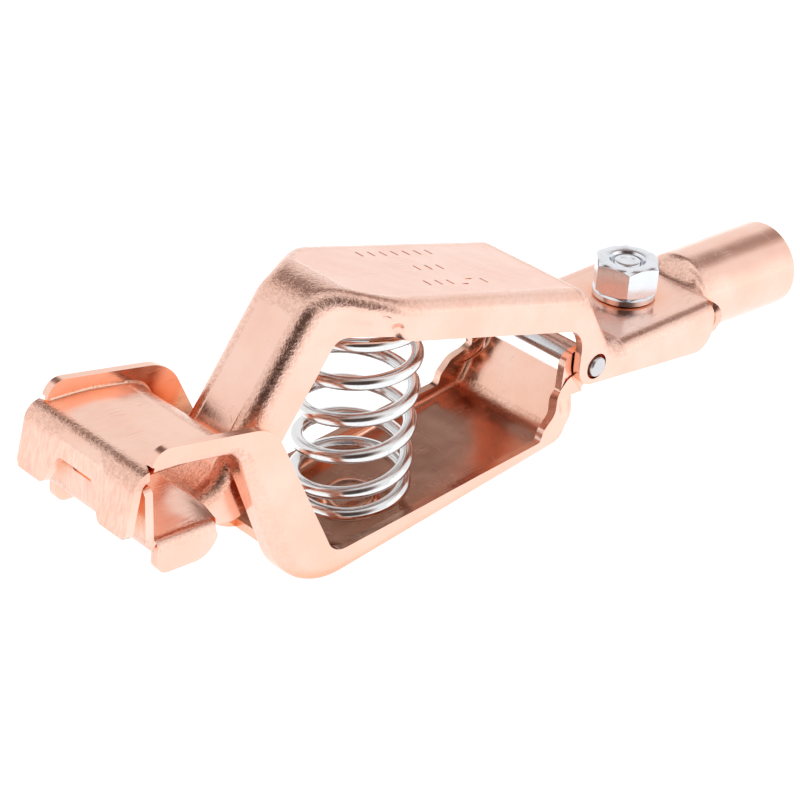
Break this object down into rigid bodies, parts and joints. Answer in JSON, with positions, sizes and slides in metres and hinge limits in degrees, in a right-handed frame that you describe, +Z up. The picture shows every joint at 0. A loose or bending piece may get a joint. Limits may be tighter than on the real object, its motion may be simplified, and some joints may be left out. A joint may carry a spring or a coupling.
{
  "type": "ground clamp",
  "caption": "Spring-closed crossing-jaw ground clamp of stamped copper, with a squeeze-to-open hinge, toothed jaws, a bolted cable terminal pad and a rolled cable barrel.",
  "frame": {"origin": "centre of the cable barrel's open mouth, on the barrel's axis", "axes": "+X out of the barrel, away from the jaws; +Y along the pivot pin; +Z up, square to the terminal pad's nut face"},
  "size_m": [0.1665, 0.0284, 0.0489],
  "materials": {
    "upper_copper": "polished solid copper sheet with a fine stamped grain",
    "lower_copper": "polished solid copper sheet with a fine stamped grain",
    "pin_steel": "zinc plated, peened ends",
    "spring_steel": "bright zinc-plated spring wire",
    "fastener_steel": "bright zinc plate"
  },
  "bodies": {
    "upper_lever": {"upper_lever": "upper_copper", "pivot_pin": "pin_steel", "spring": "spring_steel", "terminal_bolt": "fastener_steel", "lock_washer": "fastener_steel", "terminal_nut": "fastener_steel"},
    "lower_lever": {"lower_lever": "lower_copper"}
  },
  "joints": [
    {"name": "jaw_hinge", "type": "hinge", "parent": "upper_lever", "child": "lower_lever", "pos_m": [-0.0635, 0, 0.0041], "axis": [0, 1, 0], "range_deg": [0, 20], "stiffness_Nm_per_rad": 2.2, "springref_deg": -25.78, "deforming": ["spring"]}
  ]
}
